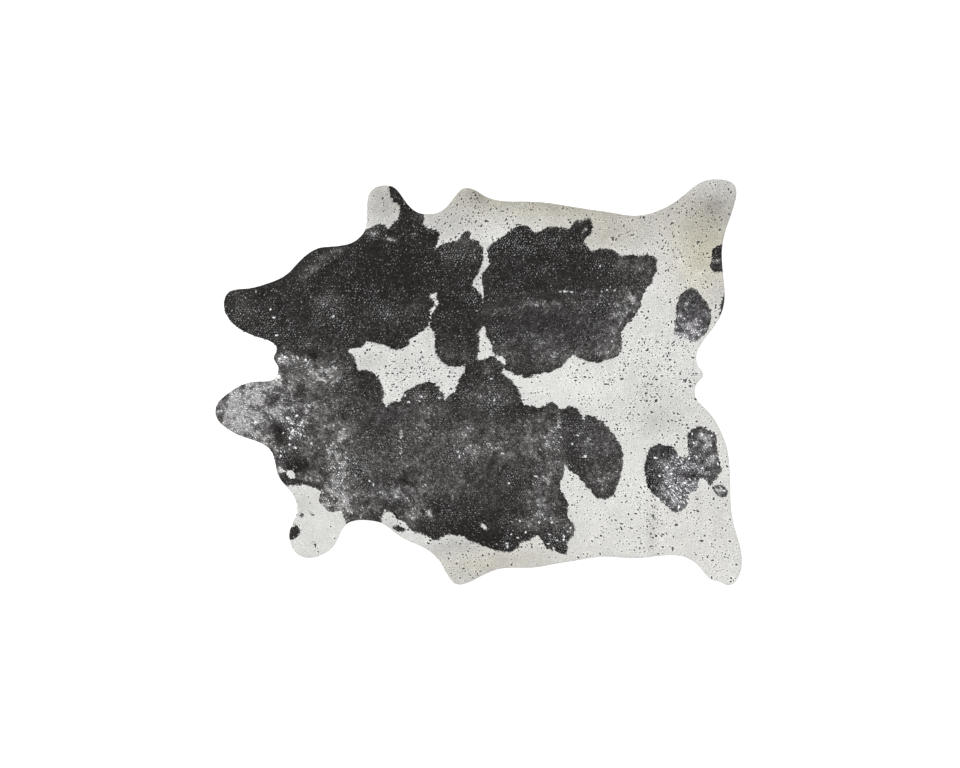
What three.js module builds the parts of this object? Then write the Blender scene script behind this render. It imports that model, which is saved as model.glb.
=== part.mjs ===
// Cowhide area rug: one whole tanned hide with its hair on, cut to its own outline and laid flat.
//
// Millimetres, +Z up. +X runs from the neck to the tail, so the animal's left side is at -Y and its
// right side at +Y. The origin is on the floor, under the middle of the hide.

import * as THREE from 'three';

const hideLength = 2400; // from the neck lobes to the hind shanks
const hideWidth = 1851; // from one hind shank to the other
const hideThickness = 3; // tanned skin with its short hair lying flat
const turnPerStep = 6; // degrees that the cut edge may turn between two corners of the solid
const fewestSteps = 3; // straight pieces in even the flattest stretch of the edge

const hideColour = 0xd8d5cc;
const hideRoughness = 0.7;
const hideMetalness = 0.1;

// The cut edge, anticlockwise from above. Each row is a point on the edge and the way in which the
// edge runs there, in degrees anticlockwise from +X. Between two rows the edge is a smooth bow.
const neckNotch = [
  { x: -919, y: 150, heading: 268 },
  { x: -933, y: 110, heading: 272 },
  { x: -912, y: 62, heading: 270 },
  { x: -942, y: 9, heading: 195 },
];
const leftNeckLobe = [
  { x: -1035, y: 0, heading: 190 },
  { x: -1117, y: -34, heading: 216 },
  { x: -1199, y: -132, heading: 268 },
  { x: -1117, y: -230, heading: 330 },
  { x: -1020, y: -267, heading: 341 },
  { x: -940, y: -323, heading: 298 },
];
const leftShoulder = [
  { x: -920, y: -401, heading: 284 },
  { x: -885, y: -466, heading: 314 },
  { x: -829, y: -547, heading: 287 },
  { x: -832, y: -617, heading: 246 },
];
const leftForeShank = [
  { x: -863, y: -700, heading: 272 },
  { x: -783, y: -802, heading: 354 },
  { x: -686, y: -772, heading: 33 },
  { x: -633, y: -695, heading: 68 },
  { x: -572, y: -634, heading: 14 },
];
const belly = [
  { x: -500, y: -631, heading: 354 },
  { x: -425, y: -652, heading: 328 },
  { x: -352, y: -707, heading: 328 },
  { x: -250, y: -755, heading: 332 },
  { x: -172, y: -825, heading: 304 },
  { x: -128, y: -898, heading: 306 },
  { x: -85, y: -924, heading: 4 },
  { x: 10, y: -887, heading: 26 },
  { x: 95, y: -852, heading: 12 },
];
const leftFlank = [
  { x: 240, y: -847, heading: 3 },
  { x: 372, y: -826, heading: 8 },
  { x: 506, y: -804, heading: 9 },
  { x: 575, y: -796, heading: 0 },
  { x: 700, y: -803, heading: 359 },
  { x: 820, y: -793, heading: 6 },
  { x: 920, y: -793, heading: 350 },
];
const leftHindShank = [
  { x: 1002, y: -837, heading: 315 },
  { x: 1051, y: -894, heading: 316 },
  { x: 1095, y: -909, heading: 345 },
  { x: 1140, y: -926, heading: 2 },
  { x: 1188, y: -882, heading: 66 },
  { x: 1199, y: -795, heading: 94 },
  { x: 1174, y: -686, heading: 108 },
];
const leftButtock = [
  { x: 1150, y: -560, heading: 94 },
  { x: 1145, y: -400, heading: 93 },
  { x: 1121, y: -262, heading: 112 },
  { x: 1068, y: -160, heading: 124 },
  { x: 1005, y: -92, heading: 132 },
];
const tailRoot = [
  { x: 985, y: -36, heading: 88 },
  { x: 1013, y: 14, heading: 46 },
  { x: 1024, y: 36, heading: 96 },
  { x: 998, y: 80, heading: 110 },
];
const rightButtock = [
  { x: 1001, y: 149, heading: 66 },
  { x: 1060, y: 235, heading: 52 },
  { x: 1118, y: 349, heading: 78 },
  { x: 1120, y: 446, heading: 95 },
  { x: 1110, y: 580, heading: 91 },
];
const rightHindShank = [
  { x: 1134, y: 715, heading: 71 },
  { x: 1171, y: 829, heading: 77 },
  { x: 1154, y: 912, heading: 148 },
  { x: 1075, y: 926, heading: 180 },
  { x: 994, y: 900, heading: 215 },
  { x: 919, y: 839, heading: 218 },
  { x: 828, y: 786, heading: 203 },
];
const rightFlank = [
  { x: 703, y: 760, heading: 178 },
  { x: 600, y: 775, heading: 172 },
  { x: 463, y: 795, heading: 171 },
  { x: 326, y: 817, heading: 172 },
  { x: 189, y: 825, heading: 180 },
  { x: 75, y: 833, heading: 166 },
  { x: 11, y: 861, heading: 144 },
  { x: -52, y: 887, heading: 178 },
  { x: -107, y: 848, heading: 234 },
  { x: -165, y: 784, heading: 217 },
];
const rightForeShank = [
  { x: -228, y: 767, heading: 181 },
  { x: -287, y: 780, heading: 149 },
  { x: -335, y: 828, heading: 127 },
  { x: -380, y: 886, heading: 142 },
  { x: -425, y: 898, heading: 181 },
  { x: -491, y: 870, heading: 235 },
  { x: -508, y: 786, heading: 270 },
  { x: -512, y: 712, heading: 258 },
];
const rightShoulder = [
  { x: -565, y: 643, heading: 212 },
  { x: -650, y: 621, heading: 187 },
  { x: -726, y: 613, heading: 196 },
  { x: -814, y: 554, heading: 225 },
  { x: -868, y: 498, heading: 222 },
  { x: -951, y: 455, heading: 200 },
];
const rightNeckLobe = [
  { x: -1050, y: 428, heading: 187 },
  { x: -1132, y: 415, heading: 207 },
  { x: -1160, y: 349, heading: 272 },
  { x: -1109, y: 258, heading: 319 },
  { x: -1020, y: 210, heading: 338 },
  { x: -948, y: 185, heading: 330 },
];

const cutEdge = [
  ...neckNotch,
  ...leftNeckLobe,
  ...leftShoulder,
  ...leftForeShank,
  ...belly,
  ...leftFlank,
  ...leftHindShank,
  ...leftButtock,
  ...tailRoot,
  ...rightButtock,
  ...rightHindShank,
  ...rightFlank,
  ...rightForeShank,
  ...rightShoulder,
  ...rightNeckLobe,
];

function directionOf(heading) {
  const radians = THREE.MathUtils.degToRad(heading);
  return new THREE.Vector2(Math.cos(radians), Math.sin(radians));
}

function angleBetween(first, second) {
  return Math.abs(Math.atan2(first.cross(second), first.dot(second)));
}

// How far a bow's handle reaches. It is exact for an arc of a circle that leaves its chord at `lean`.
function handleLength(chordLength, lean) {
  return (chordLength * 2) / 3 / (1 + Math.cos(lean));
}

// The points of the smooth bow from one row to the next, without the last of them.
function bowPoints(from, to) {
  const start = new THREE.Vector2(from.x, from.y);
  const end = new THREE.Vector2(to.x, to.y);
  const chord = end.clone().sub(start);
  const leaving = directionOf(from.heading);
  const arriving = directionOf(to.heading);
  const startLean = angleBetween(leaving, chord);
  const endLean = angleBetween(chord, arriving);
  const startReach = handleLength(chord.length(), startLean);
  const endReach = handleLength(chord.length(), endLean);
  const startHandle = start.clone().addScaledVector(leaving, startReach);
  const endHandle = end.clone().addScaledVector(arriving, -endReach);
  const bow = new THREE.CubicBezierCurve(start, startHandle, endHandle, end);
  const turn = THREE.MathUtils.radToDeg(startLean + endLean);
  const steps = Math.max(fewestSteps, Math.ceil(turn / turnPerStep));
  return bow.getPoints(steps).slice(0, steps);
}

// The closed edge, centred on the origin and brought to the hide's stated length and width.
function outlinePoints() {
  const points = cutEdge.flatMap((row, index) => bowPoints(row, cutEdge[(index + 1) % cutEdge.length]));
  const box = new THREE.Box2().setFromPoints(points);
  const middle = box.getCenter(new THREE.Vector2());
  const stated = new THREE.Vector2(hideLength, hideWidth);
  const fit = stated.divide(box.getSize(new THREE.Vector2()));
  return points.map((point) => point.sub(middle).multiply(fit));
}

function makeHide() {
  const outline = new THREE.Shape(outlinePoints());
  const geometry = new THREE.ExtrudeGeometry(outline, { depth: hideThickness, bevelEnabled: false });
  const material = new THREE.MeshStandardMaterial({
    color: hideColour,
    roughness: hideRoughness,
    metalness: hideMetalness,
  });
  const mesh = new THREE.Mesh(geometry, material);
  mesh.name = 'hide';
  return mesh;
}

const rug = new THREE.Group();
rug.add(makeHide());

export default rug;
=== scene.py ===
"""Cowhide area rug: one whole tanned hide, hair side up, white with charcoal patches and acid-washed silver.

The skin is one closed sheet cut to the CAD outline. Short hair lies on it in clumps, combed from the
spine backwards and outwards, and the acid wash has left small bare flecks of foil between the clumps.
Sizes are in metres, but the tables of markings are in millimetres, to be short. +X runs from the neck
to the tail, +Y to the animal's right, +Z up.
"""
import math
from collections import namedtuple

import bmesh
import bpy
import numpy as np
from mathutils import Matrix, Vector
from mathutils.geometry import delaunay_2d_cdt


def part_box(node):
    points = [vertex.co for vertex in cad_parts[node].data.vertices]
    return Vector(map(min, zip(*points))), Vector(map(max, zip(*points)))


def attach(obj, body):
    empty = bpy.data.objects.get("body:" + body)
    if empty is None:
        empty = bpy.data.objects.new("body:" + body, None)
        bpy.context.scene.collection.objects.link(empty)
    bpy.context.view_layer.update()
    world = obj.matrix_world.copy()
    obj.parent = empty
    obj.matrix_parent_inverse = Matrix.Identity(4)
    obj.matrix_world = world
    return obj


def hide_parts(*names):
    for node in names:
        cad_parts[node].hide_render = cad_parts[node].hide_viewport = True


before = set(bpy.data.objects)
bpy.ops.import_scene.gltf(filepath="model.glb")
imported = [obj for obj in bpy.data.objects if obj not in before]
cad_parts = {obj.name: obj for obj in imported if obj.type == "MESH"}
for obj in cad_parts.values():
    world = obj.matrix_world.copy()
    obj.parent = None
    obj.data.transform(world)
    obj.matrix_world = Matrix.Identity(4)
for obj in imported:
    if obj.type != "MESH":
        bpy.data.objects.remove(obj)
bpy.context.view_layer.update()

hide_low, hide_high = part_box("hide")
hide_length = hide_high.x - hide_low.x
hide_width = hide_high.y - hide_low.y


# ---------------------------------------------------------------- sizes

# The tanned skin, without its hair, and how far its cut edge is drawn in from the outline.
SKIN_THICKNESS = 0.002
EDGE_STEP = 0.006
TOP_STEP = 0.009
UNDERSIDE_STEP = 0.018
CUT_BEVEL = 0.0006
CUT_INSET = 0.0005

# How the hide lies: about the most that its waves and its curled edges lift it, and how wide a
# border curls.
GENTLE_WAVE = 0.0016
EDGE_CURL = 0.0022
CURLED_BORDER = 0.07

# The hair runs along the spine and turns out over the flanks, up to this angle. It is well over
# halfway there at this distance from the spine.
FLANK_TURN = math.radians(52)
SPINE_HALF_WIDTH = 0.16

# One clump of hair lies about its place on the skin: its middle is sunk by its depth, and from root to
# tip it climbs by its rise and that depth. It strays a little from the way the coat is combed.
CLUMP_SPACING = 0.0046
CLUMP_LENGTH = (0.0095, 0.0160)
CLUMP_HALF_WIDTH = (0.0013, 0.0020)
CLUMP_HEIGHT = 0.0009
CLUMP_RISE = (0.0008, 0.0022)
CLUMP_DEPTH = 0.0003
CLUMP_STRAY = math.radians(11)
# A clump is cut short if the line for one length ahead of its place crosses a fleck or runs this far
# past the outline, and left out if it gets shorter than this.
EDGE_OVERHANG = 0.002
SHORTEST_CLUMP = 0.0040
# It takes its colour from just past its tip, this share of its length ahead of its place.
COLOUR_PLACE = 0.6

# The joined pieces of each coat, with where each starts and ends along the body.
WHITE_PARTS = (("front", -2, 0.42), ("loin", 0.42, 0.79), ("rump", 0.79, 2))
DARK_PARTS = (("neck", -2, -0.55), ("middle", -0.55, 0.10), ("loin", 0.10, 2))

# Flecks of foil come in four sizes: how far apart they may lie, their half lengths and how wide they
# are for their length, their number of sides, how bright against how dull they are on the dark coat,
# and the share of those places that hold one: on the white coat, on the dark one, and how steeply it
# rises as the acid wash silvers the dark one.
FleckSize = namedtuple(
    "FleckSize", "spacing shortest longest slimmest widest sides bright dull on_white on_dark on_silver"
)
FLECK_SIZES = [
    FleckSize(0.0180, 0.0060, 0.0100, 0.40, 0.65, 9, 1.2, 6.5, 0.140, 0.040, 0.00),
    FleckSize(0.0120, 0.0034, 0.0062, 0.40, 0.65, 6, 2.2, 8.0, 0.215, 0.480, 0.00),
    FleckSize(0.0085, 0.0020, 0.0036, 0.45, 0.75, 5, 1.8, 6.0, 0.130, 0.110, 0.00),
    FleckSize(0.0108, 0.0046, 0.0098, 0.32, 0.60, 7, 1.6, 0.4, 0.000, 0.000, 2.60),
]
# The most of the places that silvering alone fills.
MOST_ON_SILVER = 0.70
# How bright against how dull every fleck on the white coat is; their dullness is partly duller foil and
# partly painted shade of the hair round their recesses.
BRIGHT_ON_WHITE, DULL_ON_WHITE = 0.8, 4.0
# The shape of a fleck, the share of its height that its middle stands above the skin, how steeply it
# tilts, and how far it strays from the way the coat is combed.
PLACED_FLECK_SIDES = 12
FLECK_RAGGEDNESS = (0.7, 1.15)
FLECK_HEIGHT = 0.0004
FLECK_STAND = 0.3
FLECK_TILT = 0.04
FLECK_STRAY = math.radians(22)
# The bare border that a fleck keeps in the hair, and the furthest along X or Y that it keeps hair away.
FLECK_MARGIN = 0.0015
FLECK_REACH = 0.018

# The even grid on which markings and shading are worked out, and its margin round the hide.
CHART_STEP = 0.004
CHART_MARGIN = 0.06

# Cells in a metre of the finer grid, which keeps hair off the flecks, and millimetres in a metre.
MASK_CELLS = 1000
PER_METRE = 1000

# Each kind of piece draws its own random numbers, the same in every run.
SKIN_SEED = 352
HAIR_SEED = 354
FLECK_SHAPE_SEED = 355
FLECK_SEED = 362
WHITE_MARK_SEED = 372
DARK_MARK_SEED = 373

# Soft noise comes in layers: how much, the size of its lumps, and its seed.
SCALLOPS = ((0.0035, 0.021, 1), (0.0045, 0.011, 2))
CLOUDS = ((0.6, 0.060, 3), (0.4, 0.024, 4))
WAVES = ((1.0, 0.42, 5), (0.4, 0.17, 6))
CURLS = ((1.0, 0.16, 7),)
WHORLS = ((math.radians(16), 0.22, 8), (math.radians(10), 0.07, 9))
CUT_WANDER = ((0.0004, 0.02, 10),)
GATHERING = ((0.8, 0.05, 11),)
MOTTLE = ((0.5, 0.008, 12), (0.5, 0.022, 13))
PATCH_EDGE = ((0.0030, 0.005, 14),)
CRUMPLE = ((1.0, 0.011, 15), (0.8, 0.024, 18))
BLOTCHES = ((1.8, 0.009, 16), (0.8, 0.025, 17))


# ---------------------------------------------------------------- markings

# Each dark patch is a smooth closed line through these places, in millimetres. Where a patch runs
# off the hide, its line simply passes outside the cut edge.
SHOULDER_PATCH = [
    # stripe on the right fore shank
    (-412, 940), (-407, 880), (-394, 832), (-384, 815), (-368, 817), (-359, 775), (-370, 744),
    (-402, 720), (-415, 702), (-428, 715), (-458, 720), (-510, 700),
    # round the outside of the right neck lobe
    (-575, 720), (-815, 675), (-1090, 550), (-1250, 420), (-1250, 170), (-1045, 45), (-815, 45),
    (-640, 125),
    # lower edge over the white of the shoulder
    (-600, 148), (-550, 157), (-490, 184), (-450, 175), (-405, 156), (-370, 149), (-335, 164),
    (-315, 173), (-306, 197), (-270, 224), (-245, 236), (-226, 254),
    # the lobe that hangs behind the shoulder
    (-208, 234), (-199, 205), (-199, 160), (-182, 108), (-155, 82), (-105, 70), (-45, 85), (-10, 117),
    (3, 160), (6, 208), (22, 264), (45, 320), (30, 372), (2, 416), (-22, 434), (-24, 456), (6, 506),
    (23, 560), (20, 604), (-12, 654), (-34, 654), (-44, 661), (-36, 676), (-44, 687), (-66, 684),
    (-84, 655), (-130, 637), (-165, 632), (-190, 613),
    # back up to the stripe
    (-191, 632), (-176, 662), (-188, 692), (-240, 707), (-250, 735), (-246, 790), (-315, 900),
    (-365, 950),
]

LOIN_PATCH = [
    # neck side
    (22, 264), (5, 310), (26, 372), (15, 484), (46, 536), (42, 594), (66, 642), (106, 660), (170, 706),
    # scalloped top with its small round knob
    (225, 710), (260, 685), (310, 705), (340, 710), (380, 705), (428, 712), (448, 742), (476, 742),
    (500, 752), (522, 712), (510, 672), (484, 652), (490, 630), (508, 608), (570, 608), (622, 602),
    (642, 580), (690, 581), (742, 576), (790, 581), (815, 556),
    # tail side, slanting back to the spine
    (804, 490), (788, 450), (752, 405), (742, 350), (702, 288), (654, 232), (652, 150), (632, 116),
    # along the spine
    (590, 104), (540, 86), (482, 104), (436, 119), (398, 94), (372, 62), (310, 44), (260, 34),
    (215, 19), (185, 31), (150, 44), (114, 73), (124, 98), (106, 116), (76, 127), (59, 150), (60, 168),
    (47, 196), (36, 212), (32, 238),
]

BELLY_PATCH = [
    # along the spine, from the lobe behind the shoulder to the rump
    (-55, 70), (-18, 112), (12, 103), (55, 119), (85, 103), (118, 70), (110, 48), (130, 22), (160, -4),
    (192, -50), (205, -100), (250, -110), (290, -115), (318, -94), (354, -96), (368, -122), (392, -120),
    (408, -108), (450, -122), (476, -151), (492, -148), (535, -162),
    # the lobe that hangs on the flank
    (575, -186), (606, -228), (642, -272), (660, -330), (652, -400), (632, -477), (610, -520),
    (555, -535), (510, -498), (470, -445), (438, -416), (411, -397), (397, -374),
    # belly edge, from the flank to the fore shank
    (386, -430), (372, -462), (380, -495), (408, -550), (410, -612), (436, -655), (430, -710),
    (406, -732), (402, -784), (350, -772), (300, -746), (285, -712), (265, -700), (243, -722),
    (196, -734), (178, -758), (125, -776), (35, -754), (-40, -724), (-90, -702), (-150, -697),
    (-205, -724), (-245, -698), (-306, -680), (-345, -634), (-372, -622), (-386, -598), (-425, -598),
    (-447, -640), (-485, -695), (-575, -685), (-605, -640), (-628, -585), (-665, -597), (-705, -572),
    (-726, -530), (-715, -500), (-752, -483), (-850, -470),
    # round the outside of the left neck lobe
    (-925, -500), (-1045, -400), (-1270, -265), (-1280, 10), (-1045, 170), (-815, 200), (-655, 180),
    # lower edge of the white of the shoulder, with its two dark humps
    (-600, 148), (-570, 118), (-546, 56), (-503, 55), (-446, 0), (-429, -50), (-434, -100),
    (-414, -110), (-398, -92), (-354, -86), (-344, -55), (-290, -18), (-216, 0), (-180, -22),
    (-160, -62), (-152, -86), (-136, -62), (-110, -38), (-95, 0), (-70, 40),
]

LEFT_RUMP_PATCH = [
    (758, -370), (768, -326), (796, -292), (845, -284), (900, -310), (915, -334), (953, -340),
    (956, -240), (968, -218), (1050, -214), (1080, -240), (1090, -300), (1094, -350), (1110, -395),
    (1084, -442), (1052, -470), (1038, -450), (1006, -440), (1000, -485), (958, -512), (954, -560),
    (905, -597), (864, -570), (834, -543), (784, -496), (761, -440),
]

RIGHT_RUMP_PATCH = [
    (902, 300), (908, 362), (926, 406), (955, 426), (986, 430), (1016, 392), (1050, 355), (1058, 270),
    (1030, 218), (966, 184), (938, 206), (900, 214),
]

RIGHT_BUTTOCK_PATCH = [
    (1084, 624), (1144, 622), (1144, 512), (1084, 504), (1060, 516), (1058, 542), (1063, 556),
    (1062, 600),
]

PATCHES = [SHOULDER_PATCH, LOIN_PATCH, BELLY_PATCH, LEFT_RUMP_PATCH, RIGHT_RUMP_PATCH, RIGHT_BUTTOCK_PATCH]

# Small oval marks: centre, half length, half width, and the heading of the length in degrees.
Oval = namedtuple("Oval", "x y long wide heading", defaults=[0])

# Shading and thickness are laid on in strokes, soft ovals: centre, half length and half width, where
# the stroke has fallen to about a third, how much it adds, and the heading of its length in degrees.
Stroke = namedtuple("Stroke", "x y long wide amount heading", defaults=[0])


def in_metres(kind, rows):
    """Ovals or strokes from rows that each start with four lengths in millimetres."""
    return [kind(*(length / PER_METRE for length in row[:4]), *row[4:]) for row in rows]


DARK_OVALS = in_metres(Oval, [
    (1104, -496, 38, 26, -30), (-842, -688, 36, 26, 50), (-823, -664, 15, 7, 60),
    (-866, -698, 12, 8, 75), (-806, -606, 12, 9, 60), (-757, -602, 9, 6, 90), (-746, -743, 9, 6, 120),
    (-362, -669, 32, 13, -15), (1115, 350, 56, 12, 78),
])

PALE_OVALS = in_metres(Oval, [
    (-856, -421, 25, 16, -40), (-899, -404, 14, 9, -30), (-917, 18, 16, 12, 30), (26, -660, 18, 8, -38),
    (484, -339, 12, 8),
    # the thin white sliver, from its top down
    (-205, 396, 18, 10, 25), (-194, 370, 18, 9, -60), (-204, 336, 24, 6, 62), (-220, 288, 34, 3, 88),
    # the broken white line under the loin patch
    (80, 120, 28, 5, -38), (112, 96, 16, 7, -60), (124, 48, 14, 8, -60),
    # nicks
    (479, -158, 18, 4, 86), (20, 394, 26, 4, -86),
])

# How bright the white coat is, from grey to white, beside its plain brightness: partly the coat's own tone,
# and partly painted shade, the grey along the hide's side edges and along the fold creases.
WHITE_TONE_AND_SHADE = in_metres(Stroke, [
    # greyer along the right side of the body and on the right hind shank: painted shade towards that edge of
    # the hide
    (200, 850, 900, 110, -0.26, -3), (650, 720, 350, 140, -0.08, -5), (0, 850, 60, 45, -0.12, 10),
    (-130, 720, 150, 80, -0.17), (560, 660, 200, 60, -0.1), (1090, 400, 50, 100, -0.1),
    (1080, 780, 170, 130, -0.18, 60), (1075, 812, 45, 25, -0.1), (1020, 560, 190, 160, -0.09, 70),
    (-430, 780, 100, 120, -0.19, 90),
    # grey bands over the rump; the narrow upright ones are painted shade along the fold creases
    (800, -20, 90, 20, -0.05), (765, -60, 16, 80, -0.06), (800, -180, 50, 50, -0.07),
    (790, -680, 22, 110, -0.13), (1100, -640, 40, 130, -0.07), (850, -150, 260, 150, -0.07),
    (1000, -550, 25, 60, -0.1),
    # two whiter smears and a dull one between the tail and the right hind shank
    (925, 548, 22, 14, 0.1, -40), (1010, 502, 24, 10, 0.14), (1010, 560, 22, 35, -0.08),
    # greyer on the shoulder, and painted shade along the left belly edge
    (-330, 80, 200, 100, -0.07), (-500, 100, 70, 40, -0.12, 20), (-240, 210, 50, 50, -0.08),
    (0, 500, 50, 110, -0.12), (0, -850, 350, 100, -0.16, 15), (-120, -750, 140, 45, -0.2, 10),
    (-390, -650, 90, 40, -0.1, -30), (400, -820, 350, 50, -0.04, 3), (-790, -540, 50, 50, -0.1),
    # brightest in the middle of the rump
    (450, -20, 280, 70, 0.05), (700, -400, 60, 200, 0.04),
])

# How cream or yellow the white coat is, beside its plain warmth.
WHITE_WARMTH = in_metres(Stroke, [
    (300, 840, 600, 120, 0.6, -3), (1030, 600, 200, 150, 0.75, 80), (600, 660, 200, 70, 0.35),
    (50, -820, 350, 80, 0.42, 5), (950, -700, 350, 250, 0.12),
])

# How far the acid wash has silvered the dark hair, from 0 for charcoal to 1 for foil all over.
DARK_SILVER = in_metres(Stroke, [
    # left neck lobe, almost silver all over
    (-1165, -70, 40, 24, -0.45, 50), (-1165, -165, 45, 35, 0.7), (-1090, -70, 30, 30, 0.4),
    (-1095, -110, 115, 160, 1.02, -10), (-1120, -170, 35, 30, 0.4), (-985, -50, 18, 45, -0.3, -20),
    (-960, -145, 30, 18, -0.25, 20), (-950, 0, 60, 25, 0.25), (-1010, -245, 80, 30, 0.5, -25),
    (-955, -265, 30, 30, 0.3), (-925, -130, 35, 20, 0.5), (-905, -400, 22, 20, 0.6, 60),
    (-930, -310, 18, 30, 0.25),
    # neck
    (-800, -140, 230, 280, 0.2), (-865, 106, 70, 22, 0.8), (-785, 98, 22, 16, 0.6),
    (-918, 18, 22, 20, 1.1), (-870, -165, 20, 16, 0.8), (-845, -230, 22, 60, 0.15),
    (-740, -340, 35, 30, -0.25), (-745, -450, 25, 25, 0.25), (-825, -180, 50, 30, 0.3),
    (-700, 30, 80, 35, 0.36), (-720, -90, 80, 40, 0.2), (-720, -350, 80, 45, 0.22),
    (-870, -40, 35, 70, 0.32), (-740, 60, 120, 50, 0.12), (-660, -210, 50, 40, 0.38),
    (-640, -420, 45, 130, 0.38, 5), (-770, -435, 40, 20, 0.35), (-685, -530, 50, 50, 0.65),
    (-612, -550, 16, 60, 0.65, 5), (-910, -230, 35, 50, -0.25), (-820, -380, 60, 40, -0.28, 20),
    (-930, -70, 30, 20, -0.2, 20), (-750, 120, 25, 25, -0.3), (-810, -40, 25, 60, -0.25),
    (-750, -275, 60, 20, 0.22), (-790, -470, 40, 25, -0.25), (-550, -515, 50, 20, 0.25),
    (-630, -510, 15, 30, -0.3), (-615, -605, 30, 18, 0.35),
    # right neck lobe
    (-755, 515, 55, 22, 0.22, 25), (-500, 500, 350, 180, -0.04), (-340, 800, 50, 60, -0.06),
    (-690, 575, 35, 12, 0.22, 15), (-800, 475, 30, 20, 0.22, 30), (-640, 605, 30, 8, 0.4, 10),
    (-680, 360, 80, 50, 0.16), (-1100, 330, 70, 80, 0.08),
    # shoulder
    (-400, 651, 24, 7, 0.8, -12), (-475, 680, 30, 20, 0.3), (-260, 755, 30, 14, 0.12, 15),
    (-70, 645, 40, 25, 0.24), (-80, 580, 70, 30, 0.12), (-370, 320, 110, 70, 0.07),
    # loin patch
    (463, 735, 12, 8, 0.4), (482, 690, 20, 5, 0.6, 50), (280, 358, 80, 14, 0.2),
    (330, 350, 260, 45, 0.1), (70, 325, 60, 20, 0.12), (330, 200, 240, 80, 0.14),
    (400, 115, 250, 45, 0.15, 8), (620, 140, 40, 30, 0.25), (120, 140, 50, 25, 0.18, -20),
    (690, 420, 110, 160, 0.14, -20), (740, 530, 70, 25, 0.12), (700, 555, 40, 12, 0.24),
    (450, 320, 110, 40, 0.08), (610, 220, 40, 70, 0.24, -30), (640, 310, 35, 35, 0.32),
    (700, 370, 40, 35, 0.3), (390, 413, 30, 4, 0.55), (500, 412, 60, 3, 0.3), (180, 403, 120, 3, 0.15),
    # belly patch, neck half
    (-150, -330, 480, 240, 0.12), (-260, -280, 60, 60, 0.12), (-60, -490, 80, 35, 0.18),
    (80, -220, 120, 35, 0.14), (-300, -220, 80, 100, 0.15), (-220, -130, 70, 30, 0.2),
    (-260, -70, 45, 20, 0.35), (-352, -260, 6, 60, 0.35), (-50, -280, 120, 80, 0.16),
    (-360, -510, 80, 30, 0.3), (-220, -460, 100, 45, 0.16), (-560, -580, 100, 45, 0.36),
    (-500, -380, 130, 120, 0.08), (-290, -580, 50, 60, 0.18), (-226, -598, 28, 10, 0.9, -65),
    (-280, -380, 70, 30, 0.14), (-330, -455, 30, 15, -0.25, -20), (-170, -440, 30, 20, -0.2),
    (-310, -330, 40, 25, -0.15), (-310, -620, 50, 30, 0.18, -40), (-125, -275, 30, 25, 0.12),
    (-200, -510, 40, 25, 0.12), (50, -710, 200, 60, -0.06),
    # belly patch, tail half
    (20, -40, 100, 50, 0.12), (40, 50, 14, 25, 0.12), (-100, 120, 60, 40, 0.12),
    (100, -70, 50, 30, 0.12), (80, -320, 110, 40, 0.14), (270, -300, 70, 80, 0.22),
    (350, -270, 50, 150, 0.2), (265, -175, 50, 30, 0.22), (200, -340, 30, 20, -0.12),
    (310, -435, 90, 40, 0.18), (340, -185, 25, 25, -0.15), (366, -180, 8, 50, 0.35),
    (280, -540, 60, 80, 0.36), (330, -645, 70, 40, 0.2), (200, -640, 90, 35, 0.2),
    (420, -670, 25, 40, 0.3), (570, -250, 90, 80, 0.18), (550, -330, 140, 200, 0.08),
    (580, -450, 60, 60, 0.22),
    # rump patches
    (975, 300, 110, 160, 0.25), (960, 225, 85, 45, 0.58), (985, 300, 30, 30, -0.14),
    (920, 250, 30, 45, 0.3), (1090, 553, 35, 8, 0.2, 10), (865, -395, 35, 50, 0.55),
    (915, -510, 90, 80, 0.95), (935, -360, 55, 30, 0.55, -20), (795, -460, 30, 70, -0.14, -20),
    (810, -340, 50, 60, 0.1), (1040, -260, 40, 45, 0.55), (1055, -365, 60, 70, 0.42),
    (990, -390, 50, 40, 0.2), (970, -290, 20, 30, 0.35), (945, -425, 65, 18, -0.28),
    (960, -475, 45, 22, 0.4), (872, -550, 38, 20, -0.45, -45), (805, -390, 20, 40, 0.12),
    (1008, -270, 14, 40, 0.3), (1062, -270, 14, 30, -0.2), (1104, -497, 34, 20, 0.6, -30),
])

# Bluish where positive, brownish where negative.
DARK_COOLNESS = in_metres(Stroke, [
    (-1000, -120, 200, 120, 0.3), (970, 290, 110, 150, 0.65), (930, -420, 160, 160, 0.75),
    (350, 250, 300, 120, 0.3), (160, 520, 60, 50, 0.25), (500, -270, 150, 100, 0.25),
    (-400, -140, 80, 60, 0.3), (-380, -510, 100, 60, 0.25), (280, -540, 80, 80, 0.2),
    (-780, -390, 80, 60, -0.35, 20), (-700, 580, 70, 30, -0.35, 15), (-300, 600, 160, 120, -0.2),
    (70, 470, 50, 50, -0.25), (0, -700, 250, 80, -0.25),
])

# The end of the left neck lobe, past a crease, which the acid wash hardly reached.
[UNSILVERED_TIP] = in_metres(Oval, [(-1205, -130, 130, 56, 80)])

# How much thicker, or thinner, than elsewhere the flecks lie on the white coat and on the dark one.
WHITE_FLECKS = in_metres(Stroke, [
    (780, 40, 200, 220, 1.0), (800, -700, 90, 190, 0.6), (1060, -720, 80, 200, 0.4),
    (950, 700, 200, 150, 0.3, 60), (720, 680, 250, 70, 0.6), (50, 760, 240, 80, 1.1, -6),
    (-300, 80, 220, 100, 0.9), (620, 20, 60, 40, 0.8), (-100, -820, 90, 90, 0.6),
    # almost none on the left fore shank and along the left belly edge
    (-750, -650, 180, 180, -1.1), (400, -820, 350, 40, -0.8), (620, -600, 100, 120, -0.2),
    (-430, 800, 80, 80, -0.5), (350, -80, 120, 30, -0.5),
])

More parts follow.
